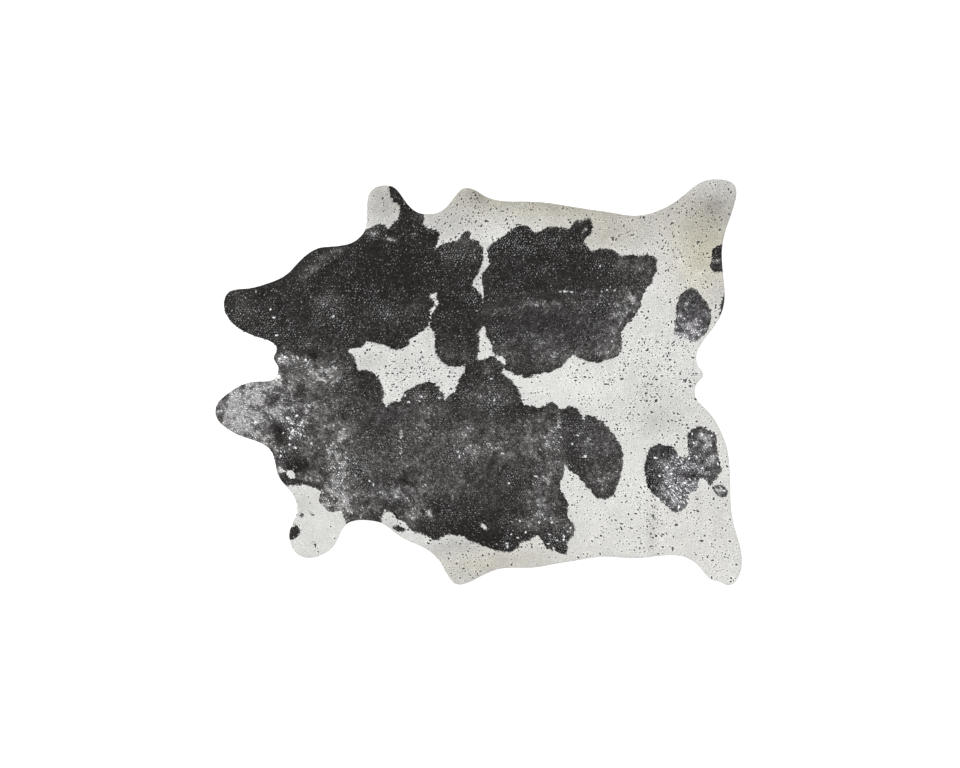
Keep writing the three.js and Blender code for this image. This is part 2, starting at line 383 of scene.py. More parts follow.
DARK_FLECKS = in_metres(Stroke, [
    # neck
    (-950, 260, 200, 60, 0.7, -20), (-1030, 360, 80, 50, 0.4), (-690, 340, 70, 70, 1.3),
    (-620, 250, 50, 50, 0.6), (-840, -200, 50, 70, 2.6), (-860, 100, 50, 20, 2.5),
    (-900, -330, 30, 50, 1.5), (-640, -420, 60, 110, 1.6), (-900, -240, 30, 50, -1.6),
    (-780, -380, 60, 50, -1.0, 20),
    # shoulder
    (-470, 680, 50, 25, 1.2), (-530, 510, 50, 30, 0.5), (-560, 420, 50, 40, 0.8),
    (-480, 360, 60, 40, 0.5), (-420, 310, 30, 30, 1.8), (-290, 680, 80, 30, 0.6),
    (-100, 580, 80, 30, 1.2), (-30, 380, 40, 30, 1.2), (-230, 530, 40, 20, 0.8),
    (-380, 480, 80, 40, -0.7),
    # loin
    (250, 630, 220, 50, 1.7), (580, 530, 50, 30, 1.4), (280, 500, 40, 30, 0.9), (560, 370, 80, 40, 1.1),
    (600, 430, 50, 20, 1.2), (700, 490, 60, 40, 0.8), (100, 230, 40, 60, 0.8), (470, 200, 40, 40, 0.8),
    (420, 490, 70, 40, -0.8), (150, 500, 60, 40, -0.6), (280, 300, 120, 40, -0.8),
    # belly, neck half
    (-260, -65, 60, 35, 2.4), (-180, -70, 30, 20, 1.8), (-590, 0, 40, 80, 1.0),
    (-570, -130, 40, 30, 1.2), (-530, -390, 50, 50, 1.6), (-360, -270, 15, 70, 2.2),
    (-90, -330, 50, 30, 2.4), (-70, -60, 40, 40, 0.8), (-100, -590, 120, 40, 0.6),
    (-380, -140, 50, 30, -0.9), (-230, -270, 40, 40, -0.9), (-50, -450, 80, 50, -0.8),
    # belly, tail half
    (60, -90, 60, 40, 2.6), (60, 10, 30, 30, 1.0), (360, -260, 20, 80, 1.5), (460, -200, 80, 50, 1.2),
    (260, -460, 40, 30, 1.4), (150, -440, 50, 30, 1.0), (430, -380, 40, 30, 0.9),
    (570, -480, 50, 50, 0.8), (200, -610, 60, 40, 1.0), (300, -630, 50, 40, 1.0),
    (390, -700, 30, 40, 1.8), (330, -730, 30, 30, 2.2), (130, -730, 20, 40, 2.2),
    (100, -350, 100, 50, -0.8), (100, -540, 80, 40, -0.7), (40, -700, 50, 30, -1.2),
    # rump
    (920, -470, 110, 130, 4.0),
])

# Single flecks that stand out.
WHITE_MARKS = in_metres(Oval, [
    (938, 5, 13, 9), (653, 11, 11, 8, 30), (989, -80, 9, 7, -50), (812, -88, 11, 8, -70),
    (917, 41, 10, 6, -50), (838, 30, 10, 6), (778, 88, 11, 5), (790, -139, 10, 6, -20),
    (817, 183, 10, 6, -35), (765, 145, 11, 5, 15), (980, 113, 10, 6), (873, 363, 10, 6, 40),
    (863, 512, 11, 5, -65), (607, 658, 14, 5, 5), (756, 753, 9, 7), (1000, 638, 14, 6, 20),
    (1038, 664, 10, 4, 65), (885, 728, 11, 6, 45), (1145, 767, 9, 8, 45), (797, -608, 10, 6, -20),
    (797, -665, 10, 6, -30), (813, -703, 10, 7, -10), (1018, -720, 12, 8, -20),
    (1000, -585, 10, 6, -50), (998, -532, 9, 7), (1092, -574, 10, 5, -30), (1067, -815, 9, 6),
    (785, -748, 9, 6), (883, -757, 10, 8, 80), (655, -648, 13, 6, -20), (905, -652, 12, 8, -10),
    (35, 735, 11, 6, -10), (107, 780, 10, 6, -10), (183, 718, 16, 4), (-130, 715, 9, 5, 60),
    (-133, 44, 12, 6, 50), (-140, 28, 10, 6, 10), (-127, -30, 10, 6, -40), (-256, 113, 9, 6, -50),
    (-267, 100, 8, 5), (-99, -825, 11, 6, 60), (-72, -850, 10, 5, 20), (585, -8, 14, 5),
])

DARK_MARKS = in_metres(Oval, [
    # neck
    (-1015, -184, 13, 9, 20), (-891, -232, 9, 4, 45), (-828, -153, 14, 7, 30), (-811, -198, 14, 5, 10),
    (-852, -226, 12, 5, 50), (-809, -240, 13, 4, 75), (-872, -166, 16, 12), (-833, -301, 16, 8, -25),
    (-850, -190, 14, 8, -60), (-846, -222, 13, 8, 60), (-862, -284, 10, 7), (-806, -185, 10, 7, 60),
    (-901, -337, 10, 8, 80), (-862, -256, 12, 9, 40), (-787, 101, 12, 9, 60), (-824, 112, 13, 6, -60),
    (-883, 114, 11, 8, 20), (-905, 108, 9, 8), (-914, 22, 15, 10, 30), (-613, -545, 14, 6, 85),
    (-935, 293, 11, 6, 20), (-924, 212, 12, 6, 15), (-949, 333, 8, 6, 60), (-660, 300, 12, 7, 40),
    # loin
    (425, 412, 9, 6), (391, 414, 9, 5), (374, 413, 9, 4), (585, 420, 7, 5, 60), (562, 412, 7, 4, 20),
    (555, 530, 7, 5, 60),
    # belly
    (-226, -598, 17, 7, -65), (-258, -67, 10, 8), (-180, -72, 12, 5, 20), (-317, -89, 11, 6),
    (-333, -60, 9, 6, 50), (-498, -451, 10, 5, -40), (-480, -470, 12, 4, 80), (-426, -584, 10, 6, 70),
    (-354, -255, 10, 5, 80), (-93, -318, 9, 6), (-85, -337, 10, 6, 30), (71, -83, 12, 5, 70),
    (61, 16, 10, 6), (455, -244, 12, 4, -20), (430, -281, 8, 7), (332, -222, 10, 4, -40),
    (137, -459, 10, 7, -50), (260, -430, 12, 7, -20), (128, -735, 11, 6, -10), (323, -695, 11, 5, -20),
    (360, -720, 11, 5, 20), (387, -700, 12, 6, -70), (420, -665, 11, 6, 70), (318, -738, 9, 6),
    (343, -758, 10, 6, -60), (388, -718, 13, 8, 80), (335, -640, 10, 6, -20), (276, -640, 11, 5, -60),
    (190, -633, 10, 6, -30), (215, -686, 10, 6, 60), (178, -709, 9, 6), (150, -693, 9, 5, 40),
    (131, -750, 10, 7, 80),
    # rump
    (805, -345, 15, 8), (827, -430, 13, 6, -60), (974, -238, 11, 5, 85), (983, -280, 11, 6, -50),
    (912, -342, 15, 6, 60), (925, -365, 15, 6, -60), (961, -350, 11, 6, 80), (862, -388, 15, 9, 20),
    (879, -417, 13, 8), (939, -458, 16, 8, 20), (887, -494, 16, 8, -55), (924, -496, 16, 7, -55),
    (893, -516, 13, 5, -50), (956, -515, 10, 5, 10), (888, -541, 16, 7, -55), (938, -549, 16, 7, -60),
    (914, -568, 13, 7, 60), (980, -463, 9, 6), (1020, -243, 10, 5, 70), (1037, -257, 10, 5, -70),
    (1035, -287, 9, 5, 60), (1020, -392, 9, 5, 20), (1086, -490, 10, 6, -30), (1120, -495, 9, 6),
    (903, -484, 13, 6, -60), (905, -532, 15, 6, -55), (921, -527, 12, 5, -50), (950, -490, 12, 6, -45),
    (872, -474, 11, 6, 30), (868, -508, 13, 5, -50), (950, -536, 12, 5, -60), (997, -345, 12, 6, -70),
    (1062, -245, 10, 6, 60), (1062, -290, 11, 5, -70), (1090, -372, 14, 6, -70),
])

# Soft ridges left from folding and drying, with their height in metres.
RIDGES = in_metres(Stroke, [
    (790, -690, 190, 18, 0.0016, 88), (1060, -640, 230, 22, 0.0018, 92), (300, 412, 380, 14, 0.0014),
    (-750, 505, 170, 30, 0.0022, 38), (-720, 80, 180, 24, 0.002, 2), (-650, -350, 240, 26, 0.002, 85),
    (560, 10, 500, 30, 0.0014, -3), (1060, 600, 230, 35, 0.0022, 75), (150, -800, 350, 30, 0.0014, 6),
    (-430, 750, 160, 30, 0.0016, 95), (-1020, -120, 170, 40, 0.0018, 10),
])


# ---------------------------------------------------------------- smooth lines, charts and noise

def even_ring(places, step):
    """A smooth closed line through the places, as points at even steps."""
    knots = np.asarray(places, float)
    onward = np.roll(knots, -1, axis=0)
    gap = np.linalg.norm(onward - knots, axis=1)[:, None]
    slope = (onward - knots) / gap
    before = np.roll(gap, 1, axis=0)
    tangent = (gap * np.roll(slope, 1, axis=0) + before * slope) / (gap + before)
    points_per_gap = 16
    t = np.linspace(0, 1, points_per_gap, endpoint=False)[None, :, None]
    start, end = knots[:, None], onward[:, None]
    leave, arrive = (gap * tangent)[:, None], (gap * np.roll(tangent, -1, axis=0))[:, None]
    fine = (
        (2 * t**3 - 3 * t**2 + 1) * start
        + (t**3 - 2 * t**2 + t) * leave
        + (3 * t**2 - 2 * t**3) * end
        + (t**3 - t**2) * arrive
    ).reshape(-1, 2)
    closed = np.vstack([fine, fine[:1]])
    travel = np.concatenate([[0], np.cumsum(np.linalg.norm(np.diff(closed, axis=0), axis=1))])
    stops = np.linspace(0, travel[-1], round(travel[-1] / step), endpoint=False)
    return np.stack([np.interp(stops, travel, closed[:, k]) for k in (0, 1)], axis=1)


def ring_distance(x, y, ring):
    """Distance from each place to a closed line, negative inside it."""
    nearest = np.full(x.shape, np.inf)
    inside = np.zeros(x.shape, bool)
    for (ax, ay), (bx, by) in zip(ring, np.roll(ring, -1, axis=0)):
        run, rise = bx - ax, by - ay
        along = np.clip(((x - ax) * run + (y - ay) * rise) / (run * run + rise * rise), 0, 1)
        nearest = np.minimum(nearest, (x - ax - along * run) ** 2 + (y - ay - along * rise) ** 2)
        if rise:
            inside ^= ((ay > y) != (by > y)) & (x < ax + (y - ay) * run / rise)
    return np.where(inside, -1, 1) * np.sqrt(nearest)


def oval_distance(x, y, oval):
    """About the distance from each place to an oval, negative inside it."""
    along, across = turned(x - oval.x, y - oval.y, oval.heading)
    reach = np.sqrt((along / oval.long) ** 2 + (across / oval.wide) ** 2)
    return (reach - 1) * min(oval.long, oval.wide)


def turned(dx, dy, heading):
    """The same offsets, measured along and across a heading in degrees."""
    cosine, sine = math.cos(math.radians(heading)), math.sin(math.radians(heading))
    return dx * cosine + dy * sine, dy * cosine - dx * sine


def laid_out(x, y, along, across, heading):
    """The places that lie so far along and across a heading in radians from each start."""
    return (
        x + along * np.cos(heading) - across * np.sin(heading),
        y + along * np.sin(heading) + across * np.cos(heading),
    )


def read_grid(grid, column, row, right, up):
    """A repeating grid's value, a share of the way right and up from each of these cells."""
    rows, columns = grid.shape
    here, beyond = column % columns, (column + 1) % columns
    low = grid[row % rows, here] * (1 - right) + grid[row % rows, beyond] * right
    high = grid[(row + 1) % rows, here] * (1 - right) + grid[(row + 1) % rows, beyond] * right
    return low * (1 - up) + high * up


def soft_noise(x, y, layers):
    """Smooth random values about 0, added up from layers that are each turned another way."""
    total = 0
    for amount, size, seed in layers:
        grid = np.random.default_rng(seed).uniform(-1, 1, (256, 256))
        u, v = turned(x / size, y / size, 17 + 31 * seed)
        column, row = np.floor(u).astype(int), np.floor(v).astype(int)
        right, up = u - column, v - row
        right, up = right * right * (3 - 2 * right), up * up * (3 - 2 * up)
        total = total + amount * read_grid(grid, column, row, right, up)
    return total


def strokes_at(x, y, strokes):
    """What a list of soft strokes adds up to at each place."""
    total = np.zeros(np.shape(x))
    for stroke in strokes:
        along, across = turned(x - stroke.x, y - stroke.y, stroke.heading)
        total += stroke.amount * np.exp(-((along / stroke.long) ** 2) - (across / stroke.wide) ** 2)
    return total


class Chart:
    """A value for every place on the hide, kept on an even grid and read in between."""

    across = np.arange(hide_low.x - CHART_MARGIN, hide_high.x + CHART_MARGIN, CHART_STEP)
    up = np.arange(hide_low.y - CHART_MARGIN, hide_high.y + CHART_MARGIN, CHART_STEP)
    x, y = np.meshgrid(across, up)

    def __init__(self, values):
        self.values = values

    def at(self, x, y):
        """The chart's value at each place; one past the grid is read just inside its last cell."""
        last_column, last_row = len(self.across) - 1.001, len(self.up) - 1.001
        u = np.clip((x - self.across[0]) / CHART_STEP, 0, last_column)
        v = np.clip((y - self.up[0]) / CHART_STEP, 0, last_row)
        column, row = u.astype(int), v.astype(int)
        return read_grid(self.values, column, row, u - column, v - row)


# ---------------------------------------------------------------- the hide's outline and charts

def cad_outline():
    """The outline of the CAD hide as an ordered ring: the line where its wall meets its underside."""
    facing_down, upright = -0.9, 0.5
    merged = bmesh.new()
    merged.from_mesh(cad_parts["hide"].data)
    bmesh.ops.remove_doubles(merged, verts=merged.verts, dist=1e-5)
    merged.normal_update()
    neighbours = {}
    for edge in merged.edges:
        slopes = sorted(face.normal.z for face in edge.link_faces)
        if len(slopes) == 2 and slopes[0] < facing_down and abs(slopes[1]) < upright:
            a, b = edge.verts
            neighbours.setdefault(a, []).append(b)
            neighbours.setdefault(b, []).append(a)
    first = min(neighbours, key=lambda v: (v.co.x, v.co.y))
    ring, last, here = [first], first, neighbours[first][0]
    while here is not first:
        ring.append(here)
        onward = [v for v in neighbours[here] if v is not last]
        last, here = here, onward[0]
    outline = np.array([(v.co.x, v.co.y) for v in ring])
    merged.free()
    return outline if ring_area(outline) > 0 else outline[::-1]


def ring_area(ring):
    """The area that a ring encloses, positive where it runs anticlockwise."""
    x, y = ring[:, 0], ring[:, 1]
    return 0.5 * float(np.sum(x * np.roll(y, -1) - np.roll(x, -1) * y))


def marking_chart():
    """Distance to the edge of the dark patches: negative inside them, and at most the reach outside."""
    reach, ring_step = 0.05, 0.012
    distance = np.full(Chart.x.shape, reach)
    for patch in PATCHES:
        ring = even_ring(np.array(patch) / PER_METRE, ring_step)
        low, high = ring.min(axis=0) - reach, ring.max(axis=0) + reach
        rows = (Chart.up > low[1]) & (Chart.up < high[1])
        columns = (Chart.across > low[0]) & (Chart.across < high[0])
        window = np.ix_(rows, columns)
        distance[window] = np.minimum(distance[window], ring_distance(Chart.x[window], Chart.y[window], ring))
    scallops = soft_noise(Chart.x, Chart.y, SCALLOPS)
    distance += scallops
    for oval in DARK_OVALS:
        distance = np.minimum(distance, oval_distance(Chart.x, Chart.y, oval) + 0.3 * scallops)
    for oval in PALE_OVALS:
        distance = np.maximum(distance, 0.3 * scallops - oval_distance(Chart.x, Chart.y, oval))
    return Chart(distance)


def tone_chart(strokes, plain, cloudiness):
    """One plain value all over, with strokes and a little cloudiness on it."""
    return Chart(plain + strokes_at(Chart.x, Chart.y, strokes) + cloudiness * cloud)


def silver_chart():
    """How silvered the dark coat is: strokes broken up by crumpling, and less past the lobe's crease."""
    plain, gain, unevenness, cloudiness = 0.05, 1.25, 0.5, 0.06
    strokes = strokes_at(Chart.x, Chart.y, DARK_SILVER)
    washed = plain + gain * strokes * (1 + unevenness * cloud) + cloudiness * cloud
    crumple = soft_noise(Chart.x, Chart.y, CRUMPLE) * np.clip(0.25 + washed, 0, 1)
    crease_width, loss_past_crease = 0.008, 0.40
    past_crease = np.clip(0.5 - oval_distance(Chart.x, Chart.y, UNSILVERED_TIP) / crease_width, 0, 1)
    return Chart(np.clip(washed * (1 - loss_past_crease * past_crease) * np.exp(crumple), 0, 1))


def lie_chart():
    """How far the skin's underside stands off the floor."""
    x, y = Chart.x, Chart.y
    wave = np.clip(soft_noise(x, y, WAVES), 0, None)
    near_edge = np.clip(1 + edge_chart.values / CURLED_BORDER, 0, 1) ** 2
    curl = near_edge * np.clip(soft_noise(x, y, CURLS) + 0.1, 0, 1)
    return Chart(GENTLE_WAVE * wave + EDGE_CURL * curl + strokes_at(x, y, RIDGES))


outline = cad_outline()
edge_chart = Chart(ring_distance(Chart.x, Chart.y, outline))
marking = marking_chart()
cloud = soft_noise(Chart.x, Chart.y, CLOUDS)
brightness = tone_chart(WHITE_TONE_AND_SHADE, plain=0.86, cloudiness=0.04)
warmth = tone_chart(WHITE_WARMTH, plain=0.22, cloudiness=0.05)
coolness = tone_chart(DARK_COOLNESS, plain=0.35, cloudiness=0.08)
silver = silver_chart()
lie = lie_chart()


def thick_flecks(x, y):
    """How much thicker than elsewhere the flecks lie on the dark coat, and 0 where they lie thinner."""
    return np.clip(strokes_at(x, y, DARK_FLECKS), 0, None)


# The skin between flecks that lie thick is less silvered than the hair.
silver_below = Chart(silver.values / (1 + 0.13 * thick_flecks(Chart.x, Chart.y)))


def skin_top(x, y):
    """Height of the skin's hair side."""
    return lie.at(x, y) + SKIN_THICKNESS


def hair_heading(x, y):
    """Which way the hair is combed, in radians: backwards along the spine, turning out over the flanks."""
    outwards = FLANK_TURN * y / np.sqrt(y * y + SPINE_HALF_WIDTH**2)
    return outwards + soft_noise(x, y, WHORLS)


# ---------------------------------------------------------------- materials

def blank_material(name, roughness):
    """A material with its node tree and its Principled shader."""
    material = bpy.data.materials.new(name)
    material.use_nodes = True
    shader = material.node_tree.nodes["Principled BSDF"]
    shader.inputs["Roughness"].default_value = roughness
    return material, material.node_tree, shader


def feed(tree, socket, value):
    """Sets a socket to a number, or links another node's output to it."""
    if isinstance(value, (int, float)):
        socket.default_value = value
    else:
        tree.links.new(value, socket)


def math_node(tree, operation, *values, clamp=False):
    """One step of arithmetic on numbers and outputs; gives its own output."""
    node = tree.nodes.new("ShaderNodeMath")
    node.operation = operation
    node.use_clamp = clamp
    for socket, value in zip(node.inputs, values):
        feed(tree, socket, value)
    return node.outputs["Value"]


def ramp_node(tree, position, stops):
    """The colour at a position on a ramp through (position, colour) stops."""
    node = tree.nodes.new("ShaderNodeValToRGB")
    elements = node.color_ramp.elements
    while len(elements) < len(stops):
        elements.new(0.5)
    for element, (place, colour) in zip(elements, stops):
        element.position = place
        element.color = (*colour, 1)
    tree.links.new(position, node.inputs["Fac"])
    return node.outputs["Color"]


def mix_node(tree, blend, factor, first, second):
    """Two colours mixed by a factor; sockets 6 and 7, and output 2, are the mix node's colours."""
    node = tree.nodes.new("ShaderNodeMix")
    node.data_type = "RGBA"
    node.blend_type = blend
    for socket, value in ((0, factor), (6, first), (7, second)):
        feed(tree, node.inputs[socket], value)
    return node.outputs[2]


def attribute_value(tree, name):
    """A value that each point of the piece carries."""
    node = tree.nodes.new("ShaderNodeAttribute")
    node.attribute_name = name
    return node.outputs["Fac"]


def group_node(tree, group, values):
    """A shader group with its own values in a material; gives its outputs."""
    node = tree.nodes.new("ShaderNodeGroup")
    node.node_tree = group
    for name, value in values.items():
        feed(tree, node.inputs[name], value)
    return node.outputs


def add_bump(tree, shader, height, strength, distance):
    """Fine relief on a material, from a height."""
    bump = tree.nodes.new("ShaderNodeBump")
    bump.inputs["Strength"].default_value = strength
    bump.inputs["Distance"].default_value = distance
    tree.links.new(height, bump.inputs["Height"])
    tree.links.new(bump.outputs["Normal"], shader.inputs["Normal"])


def shader_group(name, inputs, outputs):
    """A new shader group from its inputs' values and its outputs' kinds, with the sockets inside it."""
    group = bpy.data.node_groups.new(name, "ShaderNodeTree")
    for title, value in inputs.items():
        made = group.interface.new_socket(title, in_out="INPUT", socket_type="NodeSocketFloat")
        made.default_value = value
    for title, kind in outputs.items():
        group.interface.new_socket(title, in_out="OUTPUT", socket_type=kind)
    return group, group.nodes.new("NodeGroupInput").outputs, group.nodes.new("NodeGroupOutput").inputs


def coat_group(name, value_name, tint_name, stops, tint_stops):
    """A coat's colour: a ramp over one value, tinted by another."""
    group, given, result = shader_group(name, {value_name: 0.5, tint_name: 0.3}, {"Color": "NodeSocketColor"})
    shade = ramp_node(group, given[value_name], stops)
    tint = ramp_node(group, given[tint_name], tint_stops)
    group.links.new(mix_node(group, "MULTIPLY", 1, shade, tint), result["Color"])
    return group


def grain_group():
    """Fine uneven grain for skin and suede: a value about 0 and a height, at a scale in grains a metre."""
    number = "NodeSocketFloat"
    group, given, result = shader_group("fine_grain", {"Scale": 400}, {"Value": number, "Height": number})
    noise = group.nodes.new("ShaderNodeTexNoise")
    noise.inputs["Detail"].default_value = 3
    place = group.nodes.new("ShaderNodeTexCoord")
    group.links.new(place.outputs["Object"], noise.inputs["Vector"])
    group.links.new(given["Scale"], noise.inputs["Scale"])
    group.links.new(math_node(group, "SUBTRACT", noise.outputs["Fac"], 0.5), result["Value"])
    group.links.new(noise.outputs["Fac"], result["Height"])
    return group


white_coat_colour = coat_group(
    "white_coat_colour",
    "Brightness",
    "Warmth",
    [(0.0, (0.060, 0.058, 0.056)), (0.5, (0.345, 0.340, 0.330)), (1.0, (0.76, 0.755, 0.74))],
    [(0.0, (0.98, 0.99, 1.0)), (0.3, (1.0, 1.0, 0.985)), (1.0, (1.0, 0.96, 0.80))],
)
dark_coat_colour = coat_group(
    "dark_coat_colour",
    "Silver",
    "Coolness",
    [
        (0.0, (0.004, 0.0036, 0.0033)),
        (0.2, (0.028, 0.0265, 0.0255)),
        (0.5, (0.12, 0.118, 0.117)),
        (1.0, (0.56, 0.56, 0.56)),
    ],
    [(0.0, (1.0, 0.95, 0.90)), (0.4, (1.0, 0.985, 0.97)), (1.0, (0.955, 0.925, 1.0))],
)
fine_grain = grain_group()


def hair_material(name, coat, value_names, roughness, gloss, sheen):
    """Hair that takes its coat's colour from the clump's own two values."""
    material, tree, shader = blank_material(name, roughness)
    values = {value_name: attribute_value(tree, value_name.lower()) for value_name in value_names}
    tree.links.new(group_node(tree, coat, values)["Color"], shader.inputs["Base Color"])
    shader.inputs["Specular IOR Level"].default_value = gloss
    shader.inputs["Sheen Weight"].default_value = sheen
    shader.inputs["Sheen Roughness"].default_value = 0.4
    return material


def undercoat_material():
    """The hair side of the skin: both coats, parted raggedly at the patches' edges."""
    material, tree, shader = blank_material("undercoat", 0.7)
    shader.inputs["Specular IOR Level"].default_value = 0.12
    grain = group_node(tree, fine_grain, {"Scale": 130})
    speckle = math_node(tree, "MULTIPLY", grain["Value"], 0.4)
    brightened = math_node(tree, "ADD", attribute_value(tree, "brightness"), speckle)
    white = group_node(
        tree, white_coat_colour, {"Brightness": brightened, "Warmth": attribute_value(tree, "warmth")}
    )
    foiled = math_node(tree, "MULTIPLY_ADD", grain["Value"], 1.5, attribute_value(tree, "silver"))
    silvered = math_node(tree, "MULTIPLY_ADD", foiled, 0.65, 0.08, clamp=True)
    dark = group_node(
        tree, dark_coat_colour, {"Silver": silvered, "Coolness": attribute_value(tree, "coolness")}
    )
    ragged = math_node(tree, "MULTIPLY", grain["Value"], 0.020)
    edge = math_node(tree, "ADD", attribute_value(tree, "marking"), ragged)
    part = math_node(tree, "MULTIPLY_ADD", edge, 600, 0.5, clamp=True)
    coats = mix_node(tree, "MIX", part, dark["Color"], white["Color"])
    tree.links.new(coats, shader.inputs["Base Color"])
    add_bump(tree, shader, grain["Height"], 0.5, 0.001)
    return material


def leather_material(name, pale, deep, scale, roughness, depth):
    """Bare leather: two tones mixed by the grain, which also gives it its relief."""
    material, tree, shader = blank_material(name, roughness)
    grain = group_node(tree, fine_grain, {"Scale": scale})
    tree.links.new(ramp_node(tree, grain["Height"], [(0.3, deep), (0.7, pale)]), shader.inputs["Base Color"])
    add_bump(tree, shader, grain["Height"], 0.6, depth)
    return material


def foil_material(name, dull, bright, roughness):
    """Foil left by the acid wash, a little different on each fleck."""
    material, tree, shader = blank_material(name, roughness)
    tones = ramp_node(tree, attribute_value(tree, "shine"), [(0.0, dull), (1.0, bright)])
    tree.links.new(tones, shader.inputs["Base Color"])
    shader.inputs["Metallic"].default_value = 1
    return material


white_hair_finish = hair_material(
    "white_hair_finish", white_coat_colour, ("Brightness", "Warmth"), roughness=0.55, gloss=0.25, sheen=0.1
)
dark_hair_finish = hair_material(
    "dark_hair_finish", dark_coat_colour, ("Silver", "Coolness"), roughness=0.5, gloss=0.12, sheen=0.0
)
undercoat = undercoat_material()
cut_edge = leather_material("cut_edge", (0.50, 0.47, 0.42), (0.30, 0.27, 0.23), 900, 0.8, 0.0004)
suede = leather_material("suede", (0.62, 0.59, 0.54), (0.46, 0.43, 0.38), 260, 0.9, 0.0008)
# The foil of the flecks on the white coat is dark: partly duller silver, partly painted shade of the hair
# round their recesses.
dull_shaded_foil = foil_material("dull_shaded_foil", (0.040, 0.040, 0.041), (0.35, 0.35, 0.35), 0.45)
bright_foil = foil_material("bright_foil", (0.04, 0.04, 0.04), (0.96, 0.96, 0.98), 0.35)


# ---------------------------------------------------------------- camera and light

def set_camera():
    """Straight above the rug, which lies with its neck to the left."""
    bpy.ops.object.select_all(action="DESELECT")
    bpy.ops.object.camera_add(location=(0.0068, -0.0084, 10.34), rotation=(0, 0, 0))
    camera = bpy.context.active_object
    camera.name = "overhead_camera"
    camera.data.lens = 85
    camera.data.sensor_width = 36
    bpy.context.scene.camera = camera


def set_softbox(name, place, size, power):
    """A large square lamp that faces the middle of the rug."""
    bpy.ops.object.light_add(type="AREA", location=place)
    lamp = bpy.context.active_object
    lamp.name = name
    lamp.data.size = size
    lamp.data.energy = power
    lamp.rotation_euler = (-Vector(place)).to_track_quat("-Z", "Y").to_euler()
    lamp.visible_camera = False


def set_studio():
    """A white room: even sky, two softboxes and a pale floor."""
    world = bpy.data.worlds.new("white_room")
    world.use_nodes = True
    world.node_tree.nodes["Background"].inputs["Color"].default_value = (1, 1, 1, 1)
    world.node_tree.nodes["Background"].inputs["Strength"].default_value = 0.75
    bpy.context.scene.world = world
    bpy.context.scene.view_settings.view_transform = "Standard"
    set_softbox("left_softbox", (-3.2, 2.4, 4.6), 3.0, 200)
    set_softbox("right_softbox", (3.4, -2.2, 5.0), 3.4, 110)
    bpy.ops.mesh.primitive_plane_add(size=80, location=(0, 0, 0))
    floor = bpy.context.active_object
    floor.name = "studio_floor"
    paint, _, shader = blank_material("studio_floor_paint", 0.9)
    shader.inputs["Base Color"].default_value = (0.94, 0.94, 0.94, 1)
    floor.data.materials.append(paint)


set_camera()
set_studio()


# ---------------------------------------------------------------- meshes from arrays

def mesh_piece(name, points, triangles, materials):
    """A smooth-shaded piece from arrays of points and triangles."""
    mesh = bpy.data.meshes.new(name)
    mesh.vertices.add(len(points))
    mesh.vertices.foreach_set("co", np.ascontiguousarray(points, np.float32).ravel())
    mesh.loops.add(3 * len(triangles))
    mesh.loops.foreach_set("vertex_index", np.ascontiguousarray(triangles, np.int32).ravel())
    mesh.polygons.add(len(triangles))
    mesh.polygons.foreach_set("loop_start", np.arange(0, 3 * len(triangles), 3, dtype=np.int32))
    mesh.polygons.foreach_set("use_smooth", np.ones(len(triangles), bool))
    mesh.update(calc_edges=True)
    for material in materials:
        mesh.materials.append(material)
    piece = bpy.data.objects.new(name, mesh)
    bpy.context.scene.collection.objects.link(piece)
    return piece


def set_values(piece, name, values):
    """Gives each point of a piece a value that its material reads."""
    attribute = piece.data.attributes.new(name, "FLOAT", "POINT")
    attribute.data.foreach_set("value", np.ascontiguousarray(values, np.float32))


def set_bake_map(piece, corners):
    """The map on which the finish is baked, one place for each corner of each triangle."""
    layer = piece.data.uv_layers.new(name="OFBake")
    layer.data.foreach_set("uv", np.ascontiguousarray(corners, np.float32).ravel())


def small_map(pair, offsets, triangles):
    """A small place on the bake map for each copy of a shape, found by two of its values from 0 to 1."""
    border = 0.01
    spots = border + (1 - 2 * border) * np.stack(pair, axis=1)
    return (spots[:, None, None] + offsets[triangles][None]).reshape(-1, 2)


def cone_shape(sides):
    """The points and triangles of a cone 1 in radius and 1 high, from half below its middle to half above."""
    bpy.ops.object.select_all(action="DESELECT")
    bpy.ops.mesh.primitive_cone_add(vertices=sides, radius1=1, depth=1, location=(0, 0, 0))
    cone = bpy.context.active_object
    cone.data.calc_loop_triangles()
    points = np.array([v.co for v in cone.data.vertices])
    triangles = np.array([t.vertices for t in cone.data.loop_triangles])
    bpy.data.objects.remove(cone)
    return points, triangles


def repeated(triangles, points_each, copies):
    """The triangles of a shape, for many copies whose points follow one another."""
    first_point = points_each * np.arange(copies)[:, None, None]
    return (triangles[None] + first_point).reshape(-1, 3)


# ---------------------------------------------------------------- the skin

def scattered_places(step, inset, rng):
    """Places on a loose hexagonal grid, at least the inset inside the edge."""
    columns = np.arange(hide_low.x, hide_high.x, step)
    rows = np.arange(hide_low.y, hide_high.y, step * math.sqrt(0.75))
    x, y = np.meshgrid(columns, rows)
    x[1::2] += step / 2
    loose = 0.25
    x = (x + rng.uniform(-loose, loose, x.shape) * step).ravel()
    y = (y + rng.uniform(-loose, loose, y.shape) * step).ravel()
    keep = edge_chart.at(x, y) < -inset
    return x[keep], y[keep]


def filled_ring(ring, step, rng):
    """Triangles over a ring's inside: the flat places, the ring's own first, and the triangles between."""
    x, y = scattered_places(step, 0.6 * step, rng)
    flat = np.vstack([ring, np.stack([x, y], axis=1)])
    edges = [(i, (i + 1) % len(ring)) for i in range(len(ring))]
    inside_only, nearest = 1, 1e-7
    places, _, triangles, *_ = delaunay_2d_cdt([Vector(p) for p in flat], edges, [], inside_only, nearest)
    places, triangles = np.array([tuple(p) for p in places]), np.array(triangles)
    a, b, c = (places[triangles[:, k]] for k in range(3))
    turn = (b[:, 0] - a[:, 0]) * (c[:, 1] - a[:, 1]) - (b[:, 1] - a[:, 1]) * (c[:, 0] - a[:, 0])
    triangles[turn < 0] = triangles[turn < 0][:, ::-1]
    return places, triangles


